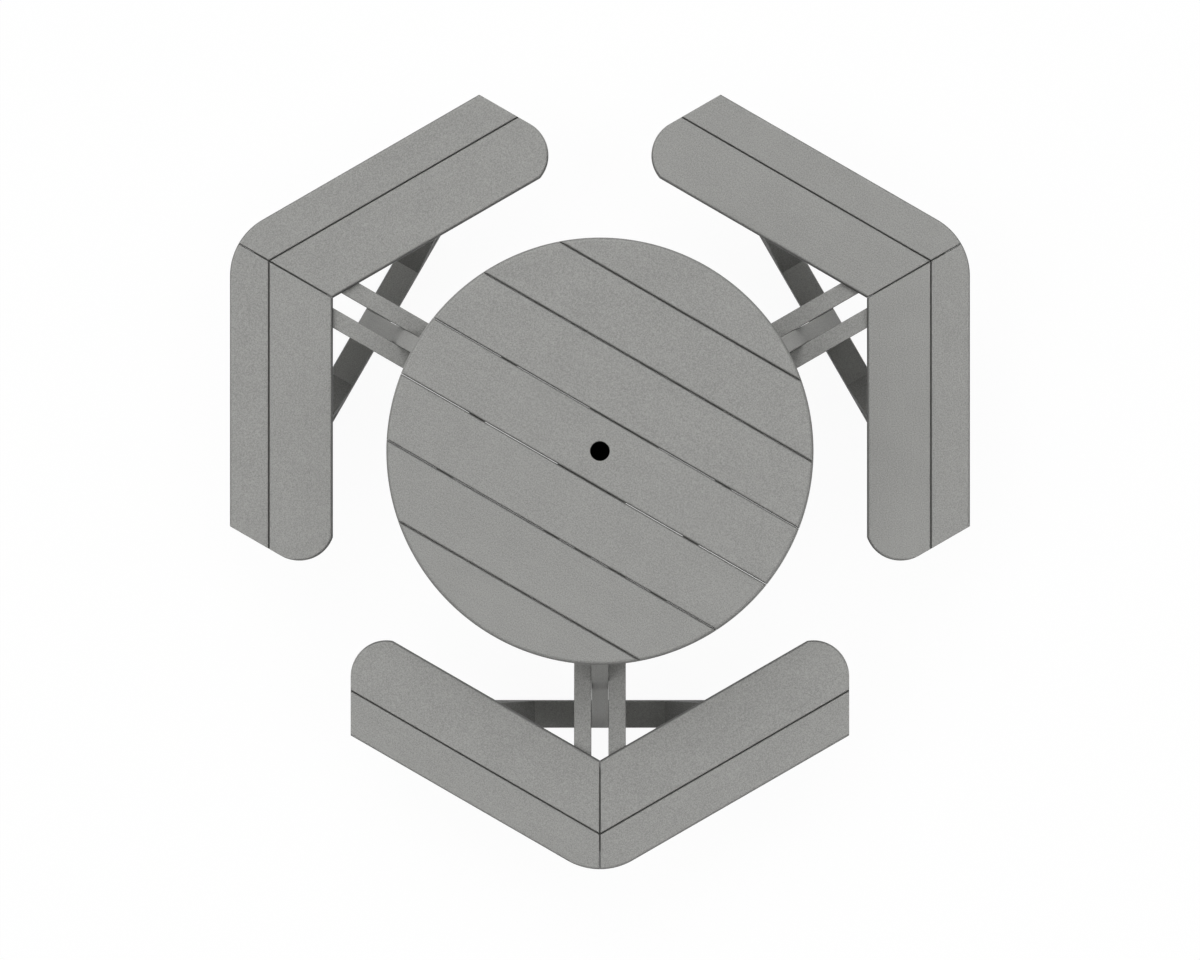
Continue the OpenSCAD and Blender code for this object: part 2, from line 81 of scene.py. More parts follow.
class Wire:
    """A shader socket that can be used in sums, so that an expression adds its Math nodes."""

    def __init__(self, bench: "Bench", socket: bpy.types.NodeSocket) -> None:
        """Keeps the socket and the bench that makes new nodes."""
        self.bench = bench
        self.socket = socket

    def _math(self, operation: str, first: "Wire | float", second: "Wire | float") -> "Wire":
        """Adds one Math node.

        Args:
            operation: the Math node's operation.
            first: its first value.
            second: its second value.

        Returns:
            The node's result.
        """
        made = self.bench.node("ShaderNodeMath", {"operation": operation}, {0: first, 1: second})
        return Wire(self.bench, made.outputs[0])

    def __add__(self, other: "Wire | float") -> "Wire":
        """Sum."""
        return self._math("ADD", self, other)

    def __radd__(self, other: float) -> "Wire":
        """Sum, with the number first."""
        return self._math("ADD", other, self)

    def __sub__(self, other: "Wire | float") -> "Wire":
        """Difference."""
        return self._math("SUBTRACT", self, other)

    def __rsub__(self, other: float) -> "Wire":
        """Difference, with the number first."""
        return self._math("SUBTRACT", other, self)

    def __mul__(self, other: "Wire | float") -> "Wire":
        """Product."""
        return self._math("MULTIPLY", self, other)

    def __rmul__(self, other: float) -> "Wire":
        """Product, with the number first."""
        return self._math("MULTIPLY", other, self)

    def __abs__(self) -> "Wire":
        """Size without its sign."""
        return self._math("ABSOLUTE", self, 0.0)

    def clamped(self) -> "Wire":
        """This, kept between 0 and 1."""
        return self._math("MINIMUM", self._math("MAXIMUM", self, 0.0), 1.0)

    def ramp(self, low: float, high: float) -> "Wire":
        """A smooth step.

        Args:
            low: the value that becomes 0.
            high: the value that becomes 1.

        Returns:
            The stepped value, between 0 and 1.
        """
        settings = {"interpolation_type": "SMOOTHSTEP", "clamp": True}
        inputs = {"Value": self, "From Min": low, "From Max": high, "To Min": 0.0, "To Max": 1.0}
        return self.bench.wire("ShaderNodeMapRange", settings, inputs)


class Bench:
    """Makes the nodes of one material or world."""

    def __init__(self, tree: bpy.types.NodeTree) -> None:
        """Starts with an empty node tree."""
        self.tree = tree
        self.tree.nodes.clear()

    def node(self, kind: str, settings: dict[str, object],
             inputs: dict[object, object]) -> bpy.types.Node:
        """Adds a node.

        Args:
            kind: the node's type.
            settings: its properties, which are set first.
            inputs: values or wires, by socket name or number.

        Returns:
            The node.
        """
        made = self.tree.nodes.new(kind)
        for key, value in settings.items():
            setattr(made, key, value)
        for key, value in inputs.items():
            if isinstance(value, Wire):
                self.tree.links.new(value.socket, made.inputs[key])
            else:
                made.inputs[key].default_value = value
        return made

    def wire(self, kind: str, settings: dict[str, object], inputs: dict[object, object],
             output: object = 0) -> Wire:
        """Adds a node and gives one of its outputs."""
        return Wire(self, self.node(kind, settings, inputs).outputs[output])

    def blend(self, share: Wire, first: object, second: object) -> Wire:
        """Mixes two colours: share 0 gives the first, and 1 the second.

        The node's colours are its inputs 6 and 7 and its output 2.
        """
        return self.wire("ShaderNodeMix", {"data_type": "RGBA"}, {0: share, 6: first, 7: second}, 2)

    def noise(self, place: Wire, scale: float, detail: float, rough: float = 0.5) -> Wire:
        """Smooth noise about 0.5.

        Args:
            place: the coordinates.
            scale: how many cells it has to a metre.
            detail: how many finer layers are added.
            rough: how strong each finer layer is, beside the one before.

        Returns:
            The noise, between 0 and 1.
        """
        inputs = {"Vector": place, "Scale": scale, "Detail": detail, "Roughness": rough}
        return self.wire("ShaderNodeTexNoise", {}, inputs)

    def cells(self, place: Wire, scale: float) -> Wire:
        """Distance to the nearest of many scattered points, scale of them to a metre."""
        inputs = {"Vector": place, "Scale": scale, "Randomness": 1.0}
        return self.wire("ShaderNodeTexVoronoi", {"feature": "F1"}, inputs, "Distance")

    def end(self, kind: str, socket: str, shader: bpy.types.Node) -> None:
        """Joins a shader to the tree's output."""
        self.node(kind, {}, {socket: Wire(self, shader.outputs[0])})


def new_material(name: str) -> tuple[bpy.types.Material, Bench]:
    """Starts a material.

    Args:
        name: its name.

    Returns:
        The material, and the bench for its nodes.
    """
    material = bpy.data.materials.new(name)
    material.use_nodes = True
    return material, Bench(material.node_tree)


# Finishes


def linear(red: float, green: float, blue: float) -> Colour:
    """Turns an 8-bit display colour into a linear one, by the sRGB curve.

    Args:
        red: 0 to 255.
        green: 0 to 255.
        blue: 0 to 255.

    Returns:
        The colour as linear red, green, blue and alpha.
    """
    shares = np.array([red, green, blue]) / 255.0
    low = shares / 12.92
    high = ((shares + 0.055) / 1.055) ** 2.4
    return (*np.where(shares <= 0.04045, low, high).tolist(), 1.0)


NO_LIGHT: Colour = (0.0, 0.0, 0.0, 1.0)
WHITE: Colour = (1.0, 1.0, 1.0, 1.0)


@dataclass(frozen=True)
class MouldedPlastic:
    """Plastic timber: a fine speckle, faint drawn streaks, small pits, a matt skin and sawn ends.

    Values that end in per_m say how many marks there are to a metre. Those in share say how much
    a pattern adds to the tone, those in rough to the roughness and those in relief to the bumps.
    Those in size say how far from a point its mark begins to fade and is gone. Those in facing
    say from what share of the normal along a direction a kind of face begins, and is full. The
    edge shade is painted shade: it darkens steep faces, such as eased edges, seams and sides.
    """

    name: str
    light: Colour
    dark: Colour
    painted_edge_shade: float = 0.0
    grain_per_m: float = 300.0
    grain_share: float = 1.30
    dust_per_m: float = 900.0
    dust_share: float = 0.45
    cloud_per_m: float = 9.0
    cloud_share: float = 0.18
    streak_per_m: float = 190.0
    streak_share: float = 0.12
    streak_stretch: float = 0.03
    pits_per_m: float = 420.0
    pit_size: Pair = (0.10, 0.24)
    flecks_per_m: float = 180.6
    fleck_size: Pair = (0.09, 0.20)
    mark_share: float = 0.26
    saw_lines_per_m: float = 520.0
    saw_line_share: float = 0.5
    saw_line_stretch: float = 0.04
    sawn_lift: float = 0.06
    core_per_m: float = 260.0
    core_size: Pair = (0.12, 0.30)
    core_share: float = 0.35
    sawn_facing: Pair = (0.82, 0.93)
    flat_facing: Pair = (0.20, 0.96)
    roughness: float = 0.62
    dust_rough: float = 0.16
    cloud_rough: float = 0.14
    pit_rough: float = 0.08
    sawn_rough: float = 0.14
    dust_relief: float = 0.55
    grain_relief: float = 0.25
    streak_relief: float = 0.35
    pit_relief: float = 0.5
    saw_line_relief: float = 1.6
    core_relief: float = 1.4
    shine: float = 0.38
    relief_m: float = 0.00035
    relief_strength: float = 0.55
    seed_step: Direction = (0.731, 1.173, 0.417)

    def material(self, along: Direction, seed: int) -> bpy.types.Material:
        """Makes the plastic of one piece.

        Args:
            along: the way the piece was drawn, as a unit vector.
            seed: moves the pattern, so that no two pieces are alike.

        Returns:
            The material, with its streaks along the piece and saw marks on its ends.
        """
        material, bench = new_material(f"{self.name}_{seed}")
        x, y, z = along
        turn = (0.0, -math.asin(z), math.atan2(y, x))
        shift = tuple(step * seed for step in self.seed_step)
        place = bench.wire("ShaderNodeTexCoord", {}, {}, "Object")
        own = bench.wire("ShaderNodeMapping", {"vector_type": "TEXTURE"}, {
            "Vector": place, "Location": shift, "Rotation": turn})
        drawn = bench.wire("ShaderNodeMapping", {}, {
            "Vector": own, "Scale": (self.streak_stretch, 1.0, 1.0)})
        sawn_place = bench.wire("ShaderNodeMapping", {}, {
            "Vector": own, "Scale": (1.0, self.saw_line_stretch, 1.0)})

        grain = bench.noise(own, self.grain_per_m, detail=2.0, rough=0.6)
        dust = bench.noise(own, self.dust_per_m, detail=2.0)
        cloud = bench.noise(own, self.cloud_per_m, detail=4.0, rough=0.55)
        streak = bench.noise(drawn, self.streak_per_m, detail=3.0, rough=0.6)
        pit = 1.0 - bench.cells(own, self.pits_per_m).ramp(*self.pit_size)
        fleck = 1.0 - bench.cells(own, self.flecks_per_m).ramp(*self.fleck_size)

        normal = bench.wire("ShaderNodeTexCoord", {}, {}, "Normal")
        facing = bench.wire("ShaderNodeVectorMath", {"operation": "DOT_PRODUCT"},
                            {0: normal, 1: along}, "Value")
        sawn = abs(facing).ramp(*self.sawn_facing)
        upward = bench.wire("ShaderNodeSeparateXYZ", {}, {"Vector": normal}, "Z")
        steep = (1.0 - abs(upward).ramp(*self.flat_facing)) * (1.0 - sawn)
        saw_line = bench.noise(sawn_place, self.saw_lines_per_m, detail=2.0, rough=0.6)
        core = 1.0 - bench.cells(own, self.core_per_m).ramp(*self.core_size)

        tone = 0.5 + self.grain_share * (grain - 0.5) + self.dust_share * (dust - 0.5)
        tone = tone + self.cloud_share * (cloud - 0.5) + self.streak_share * (streak - 0.5)
        cut = self.saw_line_share * (saw_line - 0.5) + self.sawn_lift - self.core_share * core
        tone = (tone + sawn * cut).clamped()
        base = bench.blend(tone, self.dark, self.light)
        base = bench.blend(pit * self.mark_share, base, self.dark)
        base = bench.blend(fleck * self.mark_share, base, self.light)
        # Painted shade: steep faces, such as eased edges, seams and plank sides, are mixed towards
        # black by the edge shade.
        base = bench.blend(steep * self.painted_edge_shade, base, NO_LIGHT)
        rough = self.roughness + self.dust_rough * (dust - 0.5) + self.cloud_rough * (cloud - 0.5)
        rough = rough + self.pit_rough * pit + self.sawn_rough * sawn
        skin = self.dust_relief * dust + self.grain_relief * grain
        skin = skin + self.streak_relief * streak - self.pit_relief * pit
        relief = skin + sawn * (self.saw_line_relief * saw_line - self.core_relief * core)
        bump = bench.wire("ShaderNodeBump", {}, {
            "Strength": self.relief_strength, "Distance": self.relief_m, "Height": relief},
            "Normal")
        shader = bench.node("ShaderNodeBsdfPrincipled", {}, {
            "Base Color": base, "Roughness": rough, "Normal": bump,
            "Specular IOR Level": self.shine})
        bench.end("ShaderNodeOutputMaterial", "Surface", shader)
        return material


@dataclass(frozen=True)
class ZincSteel:
    """Zinc-plated steel: a satin metal with fine marks and dull spangles."""

    name: str = "zinc_steel"
    bright: Colour = (0.60, 0.61, 0.62, 1.0)
    dull: Colour = (0.42, 0.43, 0.44, 1.0)
    spangle_per_m: float = 380.0
    spangle_size: Pair = (0.35, 0.68)
    mark_per_m: float = 2300.0
    roughness: float = 0.34
    spangle_rough: float = 0.22
    mark_rough: float = 0.12
    relief_m: float = 0.0001
    relief_strength: float = 0.3

    def material(self) -> bpy.types.Material:
        """Makes the steel of every fastener."""
        material, bench = new_material(self.name)
        place = bench.wire("ShaderNodeTexCoord", {}, {}, "Object")
        spangle = bench.noise(place, self.spangle_per_m, detail=3.0, rough=0.6)
        mark = bench.noise(place, self.mark_per_m, detail=2.0)
        base = bench.blend(spangle.ramp(*self.spangle_size), self.bright, self.dull)
        rough = self.roughness + self.spangle_rough * (spangle - 0.5)
        rough = rough + self.mark_rough * (mark - 0.5)
        bump = bench.wire("ShaderNodeBump", {}, {
            "Strength": self.relief_strength, "Distance": self.relief_m, "Height": mark}, "Normal")
        shader = bench.node("ShaderNodeBsdfPrincipled", {}, {
            "Base Color": base, "Metallic": 1.0, "Roughness": rough, "Normal": bump})
        bench.end("ShaderNodeOutputMaterial", "Surface", shader)
        return material


# Each finish's edge shade is painted shade on its steep faces.
PLANK = MouldedPlastic(
    "plank_plastic", linear(179, 179, 176), linear(116, 116, 114), painted_edge_shade=0.42)
# The seat plastic is the plank plastic with stronger painted shade on its edges.
SEAT = MouldedPlastic(
    "seat_plastic", linear(179, 179, 176), linear(116, 116, 114), painted_edge_shade=0.70)
BEAM = MouldedPlastic(
    "beam_plastic", linear(177, 177, 174), linear(114, 114, 112), painted_edge_shade=0.55)
# The strut plastic is a darker copy of the beam plastic: painted shade for the shadow under the
# seats.
STRUT_PAINTED_SHADE = MouldedPlastic(
    "strut_plastic", linear(153, 153, 150), linear(97, 97, 95), painted_edge_shade=0.45)
# The leg plastic is a lighter copy of the same plastic: painted light on the legs.
LEG_PAINTED_LIGHT = MouldedPlastic("leg_plastic", linear(183, 183, 180), linear(119, 119, 117))
# The black plastic is painted shade: it stands in for the dark in deep gaps and down the umbrella
# hole.
PAINTED_SHADE_BLACK = MouldedPlastic("black_plastic", linear(22, 22, 22), linear(8, 8, 8))
STEEL = ZincSteel()


# Surfaces


def arc(centre: Pair, radius: float, start: float, stop: float, steps: int) -> np.ndarray:
    """Points along a circular arc: centre plus radius times (cos, sin) of evenly stepped angles.

    Args:
        centre: the arc's centre, across and up.
        radius: its radius.
        start: the first angle, in radians.
        stop: the last angle, in radians.
        steps: how many stretches it has.

    Returns:
        The points, one row each.
    """
    angle = np.linspace(start, stop, steps + 1)
    return np.column_stack([centre[0] + radius * np.cos(angle), centre[1] + radius * np.sin(angle)])


@dataclass
class Outline:
    """A closed plan, anticlockwise: its corners, and the easing of the edge after each corner."""

    corners: np.ndarray
    easing: np.ndarray
    straight: float = 0.9

    def inset(self, distance: np.ndarray) -> np.ndarray:
        """Moves every edge inwards by its own distance.

        With n0 and n1 the inward normals of a corner's two edges and c their dot product, the
        corner moves by (d0 + d1) / 2 times (n0 + n1) / (1 + c), plus (d0 - d1) / 2 times
        (n0 - n1) / (1 - c), so that the first edge moves by d0 and the second by d1. Along a
        curve, where c is more than straight, the second part is left out.

        Args:
            distance: rings by edges.

        Returns:
            The moved corners: rings by corners by 2.
        """
        edge = np.roll(self.corners, -1, axis=0) - self.corners
        edge = edge / np.linalg.norm(edge, axis=1, keepdims=True)
        after = np.column_stack([-edge[:, 1], edge[:, 0]])
        before = np.roll(after, 1, axis=0)
        cosine = np.sum(before * after, axis=1, keepdims=True)
        past = np.roll(distance, 1, axis=1)[:, :, None]
        coming = distance[:, :, None]
        mean = (past + coming) / 2 * ((before + after) / (1 + cosine))[None]
        bend = np.maximum(1 - cosine, 1 - self.straight)
        turning = np.where(cosine < self.straight, (before - after) / bend, 0.0)
        return self.corners[None] + mean + (past - coming) / 2 * turning[None]


@dataclass
class RoundStrip:
    """The part of a round between two level lines. Its rim and its lines have their own ease.

    The rim's stretches turn by about arc_step, and there are fewest_steps of them or more on
    each side. Each line has line_cells stretches.
    """

    radius: float
    low: float
    high: float
    rim_ease: float
    line_ease: float
    arc_step: float = math.radians(1.2)
    fewest_steps: int = 12
    line_cells: int = 1

    @property
    def easing(self) -> np.ndarray:
        """The easing of the rim, and that of the lines."""
        return np.array([self.rim_ease, self.line_ease])

    @property
    def corners(self) -> np.ndarray:
        """The outline itself."""
        return self.inset(np.zeros((1, 2)))[0]

    def inset(self, distance: np.ndarray) -> np.ndarray:
        """Cuts a smaller round with lines that are closer together.

        A point of the rim at angle t is R (cos t, sin t), where t runs evenly from asin(low / R)
        to asin(high / R) on the right, and through the same heights on the left.

        Args:
            distance: rings by 2, how far the rim and the lines move inwards.

        Returns:
            Anticlockwise points: rings by points by 2.
        """
        reach = self.radius - distance[:, :1]
        start = np.arcsin(np.clip((self.low + distance[:, 1:]) / reach, -1.0, 1.0))
        stop = np.arcsin(np.clip((self.high - distance[:, 1:]) / reach, -1.0, 1.0))
        ends = np.arcsin(np.clip(np.array([self.low, self.high]) / self.radius, -1.0, 1.0))
        steps = max(self.fewest_steps, round((ends[1] - ends[0]) / self.arc_step))
        angle = start + (stop - start) * np.linspace(0.0, 1.0, steps + 1)[None, :]
        right = np.stack([reach * np.cos(angle), reach * np.sin(angle)], axis=-1)
        left = right[:, ::-1] * np.array([-1.0, 1.0])
        cells = np.linspace(0.0, 1.0, self.line_cells + 1)[1:-1, None]
        upper = right[:, -1:] + (left[:, :1] - right[:, -1:]) * cells[None]
        lower = left[:, -1:] + (right[:, :1] - left[:, -1:]) * cells[None]
        if self.high >= self.radius:
            left = left[:, 1:]
        if self.low <= -self.radius:
            left = left[:, :-1]
        return np.concatenate([right, upper, left, lower], axis=1)


def eased_inset(depth: np.ndarray, width: np.ndarray, deepness: float) -> np.ndarray:
    """How far in the ease of an edge lies, so deep under its face.

    The ease is a quarter of an ellipse, as wide as given and deepness times as deep: at depth d
    it is width times 1 - sqrt(1 - (1 - d / (deepness width))^2), and 0 below its depth.

    Args:
        depth: one for each ring.
        width: one for each edge.
        deepness: depth of the ease for its width.

    Returns:
        Rings by edges.
    """
    left = np.maximum(1.0 - depth[:, None] / (deepness * width[None, :]), 0.0)
    return width[None, :] * (1.0 - np.sqrt(np.maximum(1.0 - left ** 2, 0.0)))


def wall_faces(rings: int, points: int, closed: bool) -> np.ndarray:
    """Quads between neighbouring rings of points.

    Args:
        rings: number of rings.
        points: points in a ring.
        closed: whether the last ring joins the first.

    Returns:
        Four corner numbers a face, facing outwards for anticlockwise rings that rise.
    """
    ring = np.arange(rings if closed else rings - 1)[:, None]
    spot = np.arange(points)[None, :]
    upper = (ring + 1) % rings
    beside = (spot + 1) % points
    lower_pair = [ring * points + spot, ring * points + beside]
    upper_pair = [upper * points + beside, upper * points + spot]
    return np.stack(np.broadcast_arrays(*lower_pair, *upper_pair), axis=-1).reshape(-1, 4)


@dataclass
class Shell:
    """A surface in the making: corner points and faces."""

    points: np.ndarray
    faces: list[list[int]] = field(default_factory=list)

    def placed(self, turn: np.ndarray, shift: np.ndarray) -> "Shell":
        """The shell turned by a matrix and moved; its faces turn over if it is mirrored."""
        flip = np.linalg.det(turn) < 0
        faces = [face[::-1] for face in self.faces] if flip else self.faces
        return Shell(self.points @ turn.T + shift, faces)


@dataclass
class Plank:
    """A flat plank of any outline, with an ease of each edge's own width along its upper face.

    An upper ease is deepness times as deep as it is wide, and a lower one is round. Inside the
    eases each face has a narrow flat ring, the lip, which keeps their shading off the face. A
    hole has one too, out to mouth_lip_share times the ease of its mouth.
    """

    outline: Outline | RoundStrip
    base: float
    thick: float
    lower_ease: float
    deepness: float = 1.8
    steps: int = 12
    lip: float = 1.0 * MM
    mouth_points: int = 6
    mouth_lip_share: float = 1.5

    def rings(self) -> tuple[np.ndarray, np.ndarray]:
        """The outline at each level, from a flat ring on the underside to one on the upper face.

        The levels are d (1 - cos t) from each face, for evenly stepped angles t and the greatest
        depth d of an ease there.

        Returns:
            The plan of each ring, and its height.
        """
        turn = np.linspace(0.0, math.pi / 2, self.steps + 1)
        curve = 1.0 - np.cos(turn)
        low = self.lower_ease * curve
        high = self.deepness * self.outline.easing.max() * curve[::-1]
        below = np.full_like(self.outline.easing, self.lower_ease)
        above = self.outline.easing
        far = np.concatenate([
            (below + self.lip)[None], eased_inset(low, below, 1.0),
            eased_inset(high, above, self.deepness), (above + self.lip)[None]])
        level = np.concatenate([[0.0], low, self.thick - high, [self.thick]])
        return self.outline.inset(far), self.base + level

    def shell(self) -> Shell:
        """The closed plank: its rings, and a flat face at each end."""
        plans, levels = self.rings()
        rings, count = plans.shape[:2]
        heights = np.broadcast_to(levels[:, None, None], (rings, count, 1))
        points = np.concatenate([plans, heights], axis=2).reshape(-1, 3)
        faces = wall_faces(rings, count, False).tolist()
        faces.append(list(range(count))[::-1])
        faces.append(list(range((rings - 1) * count, rings * count)))
        return Shell(points, faces)

    def bored_shell(self, hole: float, hole_ease: float) -> Shell:
        """The closed plank with a round hole through its middle.

        The hole's rings have their points at the same bearings as the outline's, so that one grid
        runs up the outside, across the upper face, down the hole and back under the plank.

        Args:
            hole: radius of the hole.
            hole_ease: radius of its eased mouths.

        Returns:
            The closed shell.
        """
        plans, levels = self.rings()
        count = plans.shape[1]
        bearing = np.arctan2(self.outline.corners[:, 1], self.outline.corners[:, 0])
        spoke = np.column_stack([np.cos(bearing), np.sin(bearing)])
        turn = np.linspace(0.0, math.pi / 2, self.mouth_points)
        rim = hole_ease * self.mouth_lip_share
        wide = hole + np.concatenate([[rim], hole_ease * (1 - np.sin(turn))])
        deep = np.concatenate([[0.0], hole_ease * (1 - np.cos(turn))])
        reach = np.concatenate([wide, wide[::-1]])
        down = np.concatenate([self.thick - deep, deep[::-1]])
        inner = spoke[None] * reach[:, None, None]
        plans = np.concatenate([plans, inner])
        levels = np.concatenate([levels, self.base + down])
        heights = np.broadcast_to(levels[:, None, None], (len(levels), count, 1))
        points = np.concatenate([plans, heights], axis=2).reshape(-1, 3)
        return Shell(points, wall_faces(len(levels), count, True).tolist())


def build(name: str, shell: Shell, node_name: str, dress: bpy.types.Material,
          crease: float = 35.0) -> bpy.types.Object:
    """Args:
        name: the piece's name.
        shell: its points and faces.
        node_name: the CAD node that it stands for.
        dress: its material.
        crease: edges sharper than this, in degrees, stay sharp.

    Returns:
        The object, riding on the table.
    """
    mesh = bpy.data.meshes.new(name)
    mesh.from_pydata(shell.points.tolist(), [], shell.faces)
    mesh.validate()
    mesh.polygons.foreach_set("use_smooth", np.ones(len(mesh.polygons), dtype=bool))
    mesh.set_sharp_from_angle(angle=math.radians(crease))
    mesh.materials.append(dress)
    mesh.update()
    piece = bpy.data.objects.new(name, mesh)
    bpy.context.scene.collection.objects.link(piece)
    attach(piece, "root")
    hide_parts(node_name)
    log.info("%s: %d faces", name, len(mesh.polygons))
    return piece


def dress_node(node_name: str, dress: bpy.types.Material) -> None:
    """Gives a CAD node that stays its material."""
    node = frame["nodes"][node_name]
    node.data.materials.clear()
    node.data.materials.append(dress)
    log.info("%s: dressed", node_name)


def turned(degrees: float, mirrored: bool = False) -> np.ndarray:
    """A turn about z, after a mirror across x if one is wanted, as a 3 by 3 matrix."""
    angle = math.radians(degrees)
    turn = np.array([[math.cos(angle), -math.sin(angle), 0.0],
                     [math.sin(angle), math.cos(angle), 0.0],
                     [0.0, 0.0, 1.0]])
    return turn @ np.diag([1.0, -1.0, 1.0]) if mirrored else turn


def heading(degrees: float, climb: float = 0.0) -> Direction:
    """The unit vector at a bearing on the ground, climbing at an angle: both in degrees."""
    bearing, rise = math.radians(degrees), math.radians(climb)
    return math.cos(rise) * math.cos(bearing), math.cos(rise) * math.sin(bearing), math.sin(rise)


def table_axis() -> np.ndarray:
    """The point on the ground under the umbrella hole, from the record's mounts."""
    mounts = {mount["name"]: mount for mount in frame["record"]["mounts"]}
    place = mounts["umbrella_hole"]["pos_m"]
    return np.array([place[0], place[1], 0.0])


AXIS = table_axis()

# Every piece's pattern has a seed of its own: here are the first one of a group and the number of
# pieces that it has on each arm.
SEAT_SEED, SEAT_PIECES = 51, 4
FRAME_SEED, FRAME_PIECES = 81, 9
HUB_SEED = 141


# The table top


@dataclass
class TableTop:
    """Seven planks cut to a round, over four battens, with a gap of its own in each seam.

    The rows are as wide as if the round were offcut larger, so the outermost planks lose that
    much of their width. The bored plank has more points along its seams, for its hole to use.
    """

    radius: float = 610 * MM
    height: float = 737 * MM
    thick: float = 25 * MM
    offcut: float = 33.3 * MM
    rows: int = 7
    gaps: tuple[float, ...] = (
        0.60 * MM, 0.62 * MM, 1.24 * MM, 0.82 * MM, 0.56 * MM, 0.76 * MM)
    edge_ease: float = 7.0 * MM
    rim_ease: float = 12.5 * MM
    lower_ease: float = 1.0 * MM
    hole: float = 28 * MM
    hole_ease: float = 1.5 * MM
    angle: float = -30.0
    bored_cells: int = 64
    first_seed: int = 11
    batten_seed: int = 31

    @property
    def pitch(self) -> float:
        """Distance from one plank to the next."""
        return 2 * (self.radius + self.offcut) / self.rows

    def outline(self, row: int) -> RoundStrip:
        """The plan of a plank, whose place in the row is counted from the middle one."""
        gaps = (0.0, *self.gaps, 0.0)
        number = row + self.rows // 2
        low = (row - 0.5) * self.pitch + gaps[number] / 2
        high = (row + 0.5) * self.pitch - gaps[number + 1] / 2
        return RoundStrip(self.radius, low, high, self.rim_ease, self.edge_ease,
                          line_cells=1 if row else self.bored_cells)

    def build(self) -> None:
        """Makes the planks, and dresses what carries them."""
        turn = turned(self.angle)
        for number in range(self.rows):
            row = number - self.rows // 2
            plank = Plank(self.outline(row), self.height - self.thick, self.thick, self.lower_ease)
            shell = plank.shell() if row else plank.bored_shell(self.hole, self.hole_ease)
            dress = PLANK.material(heading(self.angle), self.first_seed + number)
            build(f"top_board_{number + 1}", shell.placed(turn, AXIS), f"top_plank_{number + 1}",
                  dress)
        for number, end in enumerate(("left", "right", "upper", "lower")):
            plastic = BEAM.material(heading(self.angle + 90.0), self.batten_seed + number)
            dress_node(f"top_batten_{end}", plastic)


# The seats


@dataclass
class Seat:
    """One V-shaped seat: an inner and an outer row of planks, mitred at the point.

    Each half of the V slants by so many degrees from square to the arm. The inner_edge is the
    distance of the inner edges from the axis, and the end that of the sawn ends from the arm's
    middle. A wide round corner turns the outer edge at the point, and a smaller one, with its
    centre end_inset from the inner edge, joins that edge to the sawn end. Where it leaves the
    sawn end, its ease grows over taper_points from that of the end to that of the edge.
    """

    arm: Arm
    first_seed: int
    height: float = 432 * MM
    thick: float = 25 * MM
    gap: float = 0.4 * MM
    edge_ease: float = 8.0 * MM
    seam_ease: float = 5.0 * MM
    sawn_ease: float = 1.6 * MM
    lower_ease: float = 3.0 * MM
    inner_edge: float = 789 * MM
    inner_width: float = 186.95 * MM
    outer_width: float = 115.85 * MM
    end: float = 735 * MM
    corner_radius: float = 192 * MM
    end_radius: float = 104 * MM
    end_inset: float = 98 * MM
    slant: float = 30.0
    end_steps: int = 28
    taper_points: int = 8
    corner_steps: int = 12

    @property
    def half_angle(self) -> float:
        """The slant of each half, in radians."""
        return math.radians(self.slant)

    def spot(self, square: float, aside: float) -> Pair:
        """The point so far from the axis, square to the edges, and so far from the arm's middle."""
        out = (square - aside * math.sin(self.half_angle)) / math.cos(self.half_angle)
        return out, aside

    def inner_outline(self) -> Outline:
        """The plan of an inner plank: mitre, seam, sawn end, round corner and inner edge."""
        seam = self.inner_edge + self.inner_width
        aside = self.end - self.end_radius
        centre = self.spot(self.inner_edge + self.end_inset, aside)
        kink = math.acos(self.end_inset / self.end_radius)
        stop = math.pi + self.half_angle - kink
        corner = arc(centre, self.end_radius, math.pi / 2, stop, self.end_steps)
        sides = np.array([self.spot(self.inner_edge, self.gap / 2),
                          self.spot(seam, self.gap / 2), self.spot(seam, self.end)])
        easing = np.full(len(sides) + len(corner), self.edge_ease)
        easing[:len(sides)] = self.seam_ease, self.seam_ease, self.sawn_ease
        taper = np.linspace(self.sawn_ease, self.edge_ease, self.taper_points)
        easing[len(sides):len(sides) + self.taper_points] = taper
        return Outline(np.vstack([sides, corner]), easing)

    def outer_outline(self) -> Outline:
        """The plan of an outer plank: round corner, outer edge, sawn end, seam and mitre."""
        seam = self.inner_edge + self.inner_width + self.gap
        edge = seam + self.outer_width
        centre = ((edge - self.corner_radius) / math.cos(self.half_angle), 0.0)
        start = math.asin(self.gap / 2 / self.corner_radius)
        corner = arc(centre, self.corner_radius, start, self.half_angle, self.corner_steps)
        sides = np.array([self.spot(edge, self.end), self.spot(seam, self.end),
                          self.spot(seam, self.gap / 2)])
        easing = np.full(len(corner) + len(sides), self.edge_ease)
        easing[len(corner):] = self.sawn_ease, self.seam_ease, self.seam_ease
        return Outline(np.vstack([corner, sides]), easing)

    def build(self) -> None:
        """Makes the four planks."""
        place = self.arm.name.lower()
        seed = self.first_seed
        outlines = {Row.INNER: self.inner_outline(), Row.OUTER: self.outer_outline()}
        for row, outline in outlines.items():
            base = self.height - self.thick
            shell = Plank(outline, base, self.thick, self.lower_ease).shell()
            for side in Side:
                limb = self.arm.value + side.value * (90.0 + self.slant)
                turn = turned(self.arm.value, side is Side.B)
                tag = f"{place}_{row.value}_{side.name.lower()}"
                build(f"seat_board_{tag}", shell.placed(turn, AXIS), f"seat_{tag}",
                      SEAT.material(heading(limb), seed))
                seed += 1


# The frame under the top and the seats


